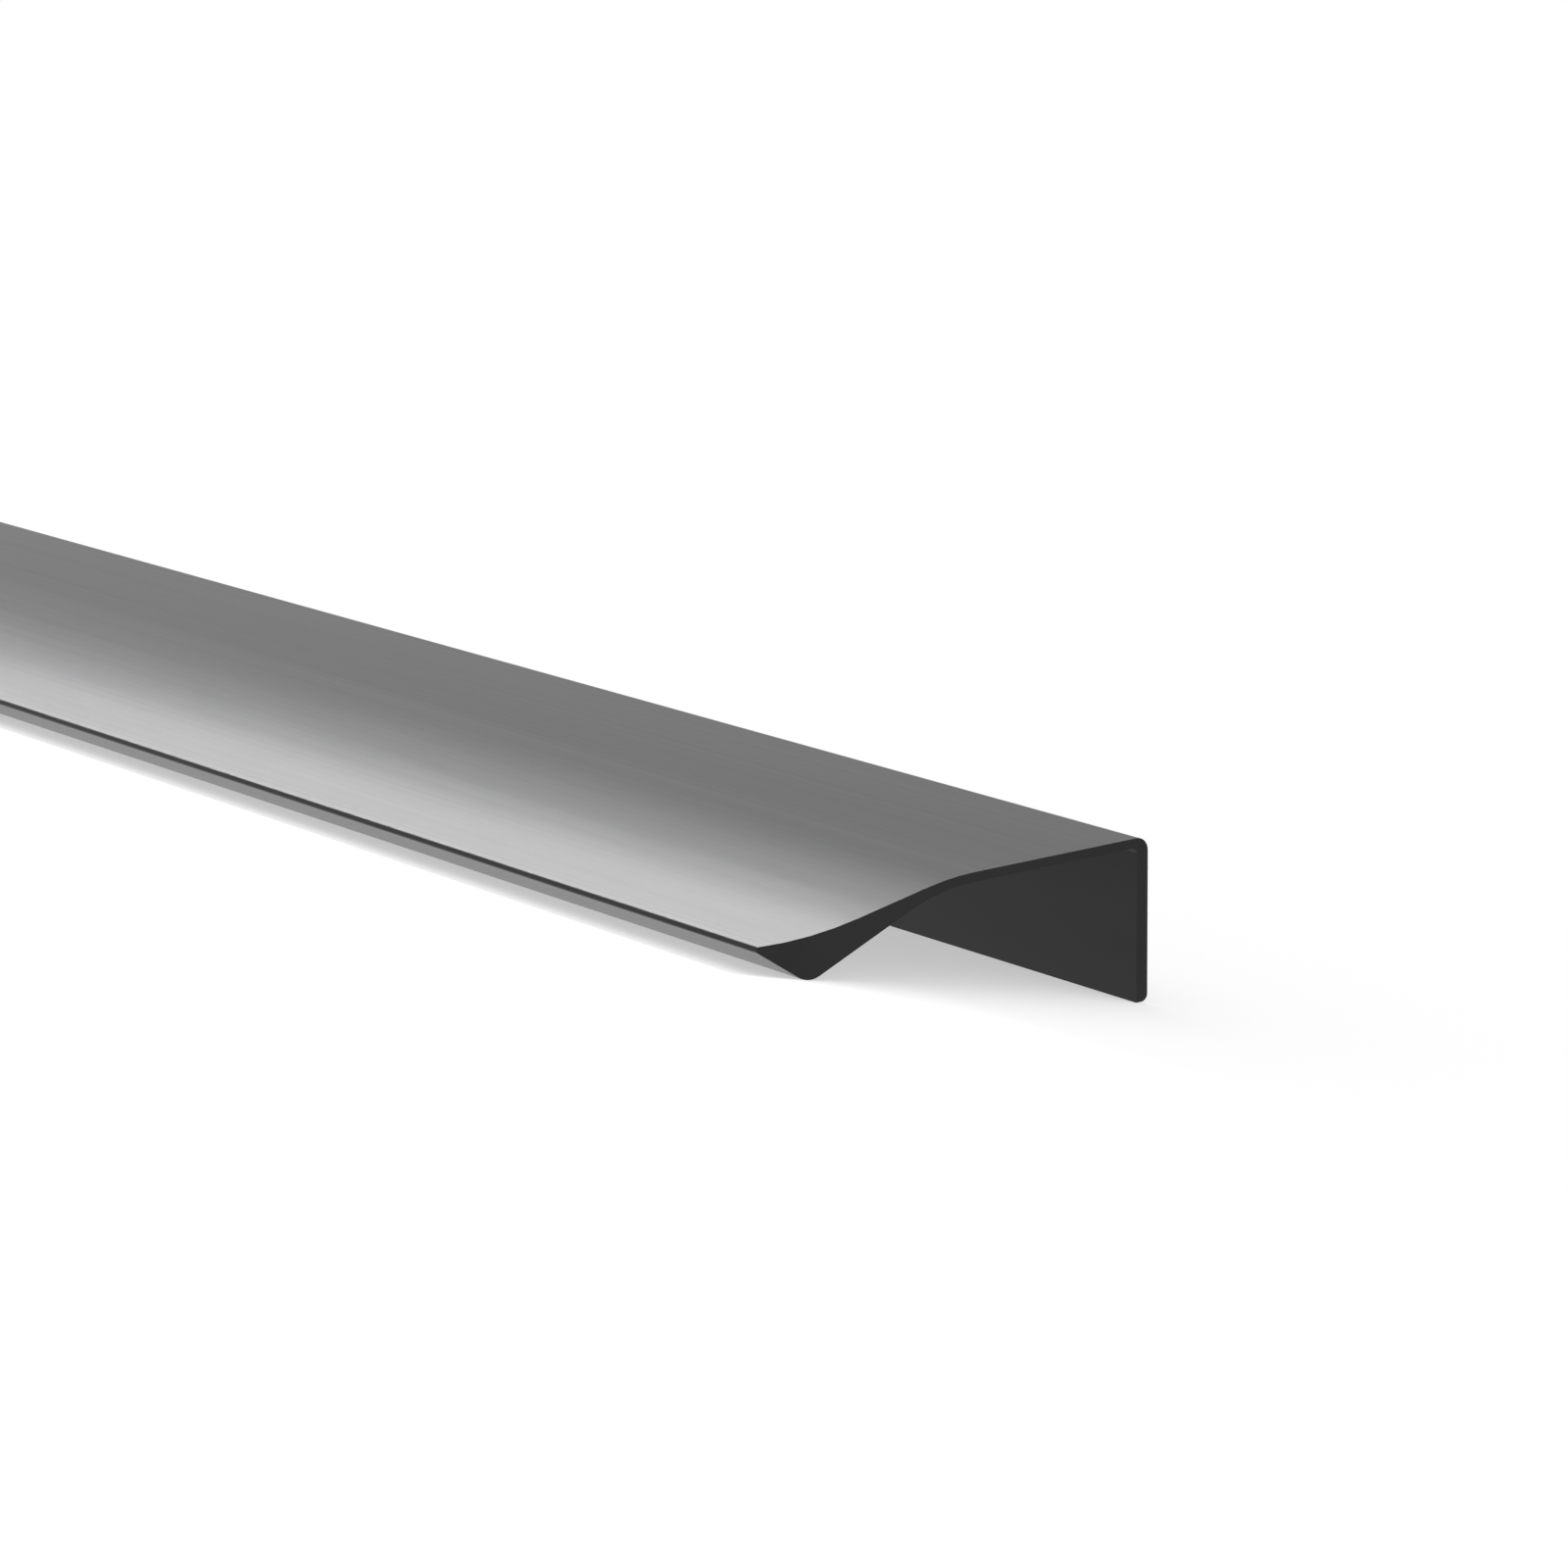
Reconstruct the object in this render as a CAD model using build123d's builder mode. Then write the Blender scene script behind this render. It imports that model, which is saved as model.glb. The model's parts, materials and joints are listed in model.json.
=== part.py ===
"""Edge-pull profile handle: one length of extruded aluminium with a flange, a plate and a finger lip.

The section is drawn as it is fitted, X to the front and Y up, from the flange's back face and the
plate's top. The finished length lies as it rests on a floor, on the flange's toe and the lip's foot:
X runs along it, the lip faces -Y and Z is up. Millimetres and degrees.
"""

import os
from math import asin, atan2, cos, degrees, radians, sin

from build123d import *

# Length and fixing holes
length = 200.0
hole_inset = 36.0  # from each cut end to its hole
hole_diameter = 3.4
sink_diameter = 5.4
sink_angle = 90.0

# Back flange, which takes the screws
flange_height = 13.8  # plate top to toe
flange_thickness = 1.2
back_corner_radius = 1.2
inner_corner_radius = 0.5
toe_radius = 0.6

# Plate, then the dip down to the lip
plate_thickness = 0.8
plate_run = 18.2  # level part, from the flange's back face
bend_radius = 26.0
dip_angle = 10.6
dip_length = 7.1
sweep_radius = 40.0
tip_upturn = 4.9  # the lip's top rises by this angle at the tip

# Finger lip
tip_radius = 0.27
front_length = 6.96  # tip to foot, between the sharp corners
front_angle = 33.55  # of the front face, below level
foot_radius = 2.2
lip_root = 3.5  # plate's level part to where the lip's underside starts
root_radius = 18.0

with BuildSketch() as section:
    with BuildLine():
        plate_top = Line((0, 0), (plate_run, 0))
        bend = JernArc(plate_top @ 1, plate_top % 1, bend_radius, -dip_angle)
        dip = PolarLine(bend @ 1, dip_length, direction=bend % 1)
        sweep_up = JernArc(dip @ 1, dip % 1, sweep_radius, dip_angle + tip_upturn)
        front_face = PolarLine(sweep_up @ 1, front_length, 180 + front_angle)
        underside = Line(front_face @ 1, (plate_run + lip_root, -plate_thickness))
        edge_seat = Line(underside @ 1, (flange_thickness, -plate_thickness))
        back_seat = Line(edge_seat @ 1, (flange_thickness, -flange_height))
        toe = Line(back_seat @ 1, (0, -flange_height))
        Line(toe @ 1, plate_top @ 0)
    make_face()
    for corner, radius in (
        (plate_top @ 0, back_corner_radius),
        (front_face @ 0, tip_radius),
        (front_face @ 1, foot_radius),
        (underside @ 1, root_radius),
        (edge_seat @ 1, inner_corner_radius),
        (toe @ 1, toe_radius),
    ):
        fillet(section.vertices().sort_by_distance(corner)[0], radius)

# At rest the floor touches the flange's toe and the round of the lip's foot.
up_front = (front_face @ 0 - front_face @ 1).normalized()
up_underside = (underside @ 1 - underside @ 0).normalized()
foot_half_angle = radians(up_front.get_angle(up_underside) / 2)
foot_centre = front_face @ 1 + (up_front + up_underside).normalized() * (foot_radius / sin(foot_half_angle))
toe_to_foot = foot_centre - toe @ 0
tilt = atan2(toe_to_foot.Y, toe_to_foot.X) - asin(foot_radius / toe_to_foot.length)

tilted = Plane((0, 0, 0), x_dir=(0, -cos(tilt), -sin(tilt)), z_dir=(-1, 0, 0))
footprint = tilted.from_local_coords(section.sketch).bounding_box()
resting_origin = (0, -footprint.center().Y, -footprint.min.Z)
resting = Plane(resting_origin, x_dir=tilted.x_dir, z_dir=tilted.z_dir)

# The holes are in the middle of the flange's inner face and sunk from behind.
hole_drop = (plate_thickness + flange_height) / 2
flange_back = Plane(resting.from_local_coords((0, -hole_drop, 0)), x_dir=(1, 0, 0), z_dir=-resting.x_dir)

with BuildPart() as handle_profile:
    with BuildSketch(resting):
        add(section.sketch)
    extrude(amount=length / 2, both=True)
    with Locations(flange_back):
        with GridLocations(length - 2 * hole_inset, 0, 2, 1):
            CounterSinkHole(hole_diameter / 2, sink_diameter / 2, 2 * flange_thickness, sink_angle)

handle_profile.part.label = "handle_profile"

os.makedirs("parts", exist_ok=True)
export_step(handle_profile.part, "parts/handle_profile.step")

print(f"rests tilted {degrees(tilt):.2f} degrees")
print(f"box {handle_profile.part.bounding_box()}")
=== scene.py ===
"""Looks of the edge-pull profile handle: satin black anodised aluminium on a pale studio floor.

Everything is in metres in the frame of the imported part. The part lies tilted at rest, so the section's
own axes (front, up) come from the record's mounts.
"""

import json
import math

import bpy
from mathutils import Matrix, Vector

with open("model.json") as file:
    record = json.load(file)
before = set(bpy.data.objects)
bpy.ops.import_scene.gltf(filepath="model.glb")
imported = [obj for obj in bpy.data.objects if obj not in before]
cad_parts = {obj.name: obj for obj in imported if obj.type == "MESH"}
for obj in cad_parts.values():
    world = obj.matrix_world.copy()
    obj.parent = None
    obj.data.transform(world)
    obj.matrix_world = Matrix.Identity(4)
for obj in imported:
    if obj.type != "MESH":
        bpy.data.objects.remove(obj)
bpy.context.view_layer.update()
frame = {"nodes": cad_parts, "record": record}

NODE = "handle_profile"
MM = 0.001
WHITE = (1.0, 1.0, 1.0, 1.0)

# Photograph: a square picture, with the outer top corner of the near end at this pixel
IMAGE_SIDE_PX = 1600
CORNER_PX = (1171.35, 852.9)
CORNER_DEPTH = 440.2 * MM  # in front of the camera
LENS_MM = 125.0
SENSOR_MM = 36.0
CAMERA_AZIMUTH = math.radians(50.58)  # 0 looks along +Y, 90 degrees along -X
CAMERA_ELEVATION = math.radians(5.15)
CAMERA_ROLL = math.radians(9.82)
CAMERA_CLIP = (0.01, 100.0)

# Seams of the CAD faces
SEAM_GAP = 0.001 * MM
SHARP_ANGLE = math.radians(30.0)

# Satin black anodising over an etched extrusion. Sizes of the fine detail are along, across and up.
METALLIC = 1.0
ANODISED_GREY = 0.035
GREY_SPREAD = 0.0025
GREY_CLOUDS = (60.0 * MM, 9.0 * MM, 9.0 * MM)
ANODISED_ROUGHNESS = 0.36
ROUGHNESS_SPREAD = 0.013
DIE_LINES = (150.0 * MM, 0.3 * MM, 0.3 * MM)
SAW_LINES = (50.0 * MM, 0.2 * MM, 8.0 * MM)
LINE_DEPTH = 0.0008 * MM
ETCH_GRAIN = (0.06 * MM, 0.06 * MM, 0.06 * MM)
ETCH_DEPTH = 0.0006 * MM
NOISE_DETAIL = 3.0
NOISE_RANGE = (0.3, 0.7)  # where nearly all of a noise pattern's values lie
CUT_END_FACING = 0.9  # least share of a cut end's normal that points along the profile
# Painted shade: the cut ends get a darker grey than the extruded faces, as if they faced away from the
# light.
CUT_END_PAINTED_SHADE = 0.006  # than the extruded faces

# Studio
FLOOR_SIDE = 6.0
FLOOR_ROUGHNESS = 1.0
FLOOR_SPECULAR = 0.0
FLOOR_GLOW = 0.5  # share of plain white in the floor as the camera sees it
SKY_STRENGTH = 1.0

# Strip lamps behind and above the plate, with their backs to it, so that their light starts near the dip:
# light_start is measured from the flange's back, and rise is the lamp's angle above the plate.
STRIPS = (
    {"light_start": 15.0 * MM, "distance": 110.0 * MM, "rise": math.radians(50.0), "watts": 1.43},
    {"light_start": 22.0 * MM, "distance": 70.0 * MM, "rise": math.radians(45.0), "watts": 0.37},
    {"light_start": 26.0 * MM, "distance": 70.0 * MM, "rise": math.radians(45.0), "watts": 0.83},
)
STRIP_HEIGHT = 20.0 * MM
STRIP_ENDS = (-300.0 * MM, 130.0 * MM)
STRIP_TURN = math.radians(6.5)  # takes the far end further off


def mount(name):
    """One of the record's mounts, by name."""
    return next(m for m in frame["record"]["mounts"] if m["name"] == name)


FRONT = Vector(mount("door_back_seat")["axis"]).normalized()
UP = -Vector(mount("door_edge_seat")["axis"]).normalized()
ALONG = Vector((1.0, 0.0, 0.0))


def near_corner():
    """Outer top corner of the section at the +X end, where the flange's back meets the plate's top."""
    points = [v.co for v in frame["nodes"][NODE].data.vertices]
    back = min(p.dot(FRONT) for p in points)
    top = max(p.dot(UP) for p in points)
    return ALONG * max(p.x for p in points) + FRONT * back + UP * top


def link_object(name, data):
    """New object of the scene with this data."""
    new_object = bpy.data.objects.new(name, data)
    bpy.context.scene.collection.objects.link(new_object)
    return new_object


def calculate(tree, operation, *values):
    """Result of a math node whose inputs are sockets or plain numbers."""
    node = tree.nodes.new("ShaderNodeMath")
    node.operation = operation
    for socket, value in zip(node.inputs, values):
        if isinstance(value, bpy.types.NodeSocket):
            tree.links.new(value, socket)
        else:
            socket.default_value = value
    return node.outputs["Value"]


def pattern(tree, size):
    """Noise with features of this size along, across and up the profile."""
    place = tree.nodes.new("ShaderNodeTexCoord")
    stretch = tree.nodes.new("ShaderNodeMapping")
    stretch.inputs["Scale"].default_value = [1.0 / s for s in size]
    noise = tree.nodes.new("ShaderNodeTexNoise")
    noise.inputs["Scale"].default_value = 1.0
    noise.inputs["Detail"].default_value = NOISE_DETAIL
    tree.links.new(place.outputs["Object"], stretch.inputs["Vector"])
    tree.links.new(stretch.outputs["Vector"], noise.inputs["Vector"])
    return noise.outputs["Fac"]


def spread(tree, noise, middle, reach):
    """The pattern's values, spread from middle - reach to middle + reach."""
    values = tree.nodes.new("ShaderNodeMapRange")
    values.inputs["From Min"].default_value, values.inputs["From Max"].default_value = NOISE_RANGE
    values.inputs["To Min"].default_value = middle - reach
    values.inputs["To Max"].default_value = middle + reach
    tree.links.new(noise, values.inputs["Value"])
    return values.outputs["Result"]


def on_cut_ends(tree):
    """1 on the two cut ends and 0 on the rest of the profile."""
    place = tree.nodes.new("ShaderNodeTexCoord")
    parts = tree.nodes.new("ShaderNodeSeparateXYZ")
    tree.links.new(place.outputs["Normal"], parts.inputs["Vector"])
    either_end = calculate(tree, "ABSOLUTE", parts.outputs["X"])
    return calculate(tree, "GREATER_THAN", either_end, CUT_END_FACING)


def relief(tree, height, depth, below=None):
    """Normals of a pattern pressed this deep into the surface, on top of the finer relief below it."""
    bump = tree.nodes.new("ShaderNodeBump")
    bump.inputs["Distance"].default_value = depth
    tree.links.new(height, bump.inputs["Height"])
    if below:
        tree.links.new(below, bump.inputs["Normal"])
    return bump.outputs["Normal"]


def anodised_aluminium():
    """Satin black anodised aluminium, with die lines along it, saw lines across its cut ends and painted
    shade on them.
    """
    material = bpy.data.materials.new("satin_black_anodised")
    material.use_nodes = True
    tree = material.node_tree
    cut_ends = on_cut_ends(tree)
    lines = tree.nodes.new("ShaderNodeMix")
    tree.links.new(cut_ends, lines.inputs["Factor"])
    tree.links.new(pattern(tree, DIE_LINES), lines.inputs["A"])
    tree.links.new(pattern(tree, SAW_LINES), lines.inputs["B"])
    line_heights = lines.outputs["Result"]
    grain = relief(tree, pattern(tree, ETCH_GRAIN), ETCH_DEPTH)
    clouds = spread(tree, pattern(tree, GREY_CLOUDS), ANODISED_GREY, GREY_SPREAD)
    # Painted shade: the grey is darker on the cut ends, as if they faced away from the light; the clouds
    # are the metal's own uneven tone.
    grey_with_painted_shade = calculate(tree, "MULTIPLY_ADD", cut_ends, -CUT_END_PAINTED_SHADE, clouds)
    roughness = spread(tree, line_heights, ANODISED_ROUGHNESS, ROUGHNESS_SPREAD)

    shader = tree.nodes["Principled BSDF"]
    shader.inputs["Metallic"].default_value = METALLIC
    tree.links.new(grey_with_painted_shade, shader.inputs["Base Color"])
    tree.links.new(roughness, shader.inputs["Roughness"])
    tree.links.new(relief(tree, line_heights, LINE_DEPTH, grain), shader.inputs["Normal"])
    return material


def joined_faces():
    """Geometry nodes that join the CAD faces at their seams and mark only real corners as sharp."""
    group = bpy.data.node_groups.new("joined_faces", "GeometryNodeTree")
    group.interface.new_socket("Geometry", in_out="INPUT", socket_type="NodeSocketGeometry")
    group.interface.new_socket("Geometry", in_out="OUTPUT", socket_type="NodeSocketGeometry")
    nodes, links = group.nodes, group.links
    join = nodes.new("GeometryNodeMergeByDistance")
    join.inputs["Distance"].default_value = SEAM_GAP
    smooth_faces = nodes.new("GeometryNodeSetShadeSmooth")
    smooth_faces.domain = "FACE"
    angle = nodes.new("GeometryNodeInputMeshEdgeAngle")
    shallow = nodes.new("FunctionNodeCompare")
    shallow.data_type = "FLOAT"
    shallow.operation = "LESS_THAN"
    shallow.inputs["B"].default_value = SHARP_ANGLE
    sharp_edges = nodes.new("GeometryNodeSetShadeSmooth")
    sharp_edges.domain = "EDGE"
    links.new(nodes.new("NodeGroupInput").outputs["Geometry"], join.inputs["Geometry"])
    links.new(join.outputs["Geometry"], smooth_faces.inputs["Geometry"])
    links.new(angle.outputs["Unsigned Angle"], shallow.inputs["A"])
    links.new(smooth_faces.outputs["Geometry"], sharp_edges.inputs["Geometry"])
    links.new(shallow.outputs["Result"], sharp_edges.inputs["Shade Smooth"])
    links.new(sharp_edges.outputs["Geometry"], nodes.new("NodeGroupOutput").inputs["Geometry"])
    return group


def dress_profile():
    """The anodised finish on the profile's own node, whose faces meet without a crease."""
    profile = frame["nodes"][NODE]
    profile.material_slots[0].material = anodised_aluminium()
    profile.modifiers.new("joined_faces", "NODES").node_group = joined_faces()
    normals = profile.modifiers.new("face_normals", "WEIGHTED_NORMAL")
    normals.mode = "FACE_AREA"
    normals.keep_sharp = True


def pale_floor():
    """Matt white that keeps the object's shadow, and shows as plain white in the metal."""
    material = bpy.data.materials.new("pale_floor")
    material.use_nodes = True
    tree = material.node_tree
    shader = tree.nodes["Principled BSDF"]
    shader.inputs["Base Color"].default_value = WHITE
    shader.inputs["Roughness"].default_value = FLOOR_ROUGHNESS
    shader.inputs["Specular IOR Level"].default_value = FLOOR_SPECULAR
    ray = tree.nodes.new("ShaderNodeLightPath").outputs
    share = calculate(tree, "MULTIPLY_ADD", ray["Is Camera Ray"], FLOOR_GLOW, ray["Is Glossy Ray"])
    white = tree.nodes.new("ShaderNodeEmission")
    mix = tree.nodes.new("ShaderNodeMixShader")
    tree.links.new(share, mix.inputs["Fac"])
    tree.links.new(shader.outputs["BSDF"], mix.inputs[1])
    tree.links.new(white.outputs["Emission"], mix.inputs[2])
    tree.links.new(mix.outputs["Shader"], tree.nodes["Material Output"].inputs["Surface"])
    return material


def make_floor():
    """Plain pale floor."""
    half = FLOOR_SIDE / 2
    corners = [(-half, -half, 0.0), (half, -half, 0.0), (half, half, 0.0), (-half, half, 0.0)]
    mesh = bpy.data.meshes.new("floor")
    mesh.from_pydata(corners, [], [(0, 1, 2, 3)])
    mesh.materials.append(pale_floor())
    floor = link_object("floor", mesh)


def make_sky():
    """Even white light from all round."""
    world = bpy.data.worlds.new("studio")
    world.use_nodes = True
    background = world.node_tree.nodes["Background"]
    background.inputs["Color"].default_value = WHITE
    background.inputs["Strength"].default_value = SKY_STRENGTH
    bpy.context.scene.world = world


def make_strip(light_start, distance, rise, watts):
    """Long strip lamp beside the profile, which lights only what is in front of light_start."""
    along_panel = UP * math.sin(rise) - FRONT * math.cos(rise)
    facing = FRONT * math.sin(rise) + UP * math.cos(rise)
    start, end = STRIP_ENDS
    data = bpy.data.lights.new("strip", "AREA")
    data.shape = "RECTANGLE"
    data.size = end - start
    data.size_y = STRIP_HEIGHT
    data.energy = watts
    lamp = link_object("strip", data)
    middle = near_corner() + FRONT * light_start + along_panel * distance
    middle.x = (start + end) / 2
    long_way = ALONG * math.cos(STRIP_TURN) - along_panel * math.sin(STRIP_TURN)
    turn = Matrix((long_way, (-facing).cross(long_way), -facing)).transposed().to_4x4()
    lamp.matrix_world = Matrix.Translation(middle) @ turn
    lamp.visible_camera = False


def make_camera():
    """Camera at the photograph's viewing angle, with the near corner on its pixel."""
    to_viewer = Vector((
        math.sin(CAMERA_AZIMUTH) * math.cos(CAMERA_ELEVATION),
        -math.cos(CAMERA_AZIMUTH) * math.cos(CAMERA_ELEVATION),
        math.sin(CAMERA_ELEVATION),
    ))
    level_right = Vector((0.0, 0.0, 1.0)).cross(to_viewer).normalized()
    level_up = to_viewer.cross(level_right)
    right = level_right * math.cos(CAMERA_ROLL) + level_up * math.sin(CAMERA_ROLL)
    up = level_up * math.cos(CAMERA_ROLL) - level_right * math.sin(CAMERA_ROLL)

    data = bpy.data.cameras.new("camera")
    data.sensor_width = SENSOR_MM
    data.lens = LENS_MM
    data.clip_start, data.clip_end = CAMERA_CLIP
    camera = link_object("camera", data)

    pixel = CORNER_DEPTH * SENSOR_MM / (LENS_MM * IMAGE_SIDE_PX)
    across, down = (p - IMAGE_SIDE_PX / 2 for p in CORNER_PX)
    place = near_corner() - right * across * pixel + up * down * pixel + to_viewer * CORNER_DEPTH
    turn = Matrix((right, up, to_viewer)).transposed().to_4x4()
    camera.matrix_world = Matrix.Translation(place) @ turn
    bpy.context.scene.camera = camera


dress_profile()
make_floor()
make_sky()
for strip in STRIPS:
    make_strip(**strip)
make_camera()

bpy.context.scene.view_settings.view_transform = "Standard"
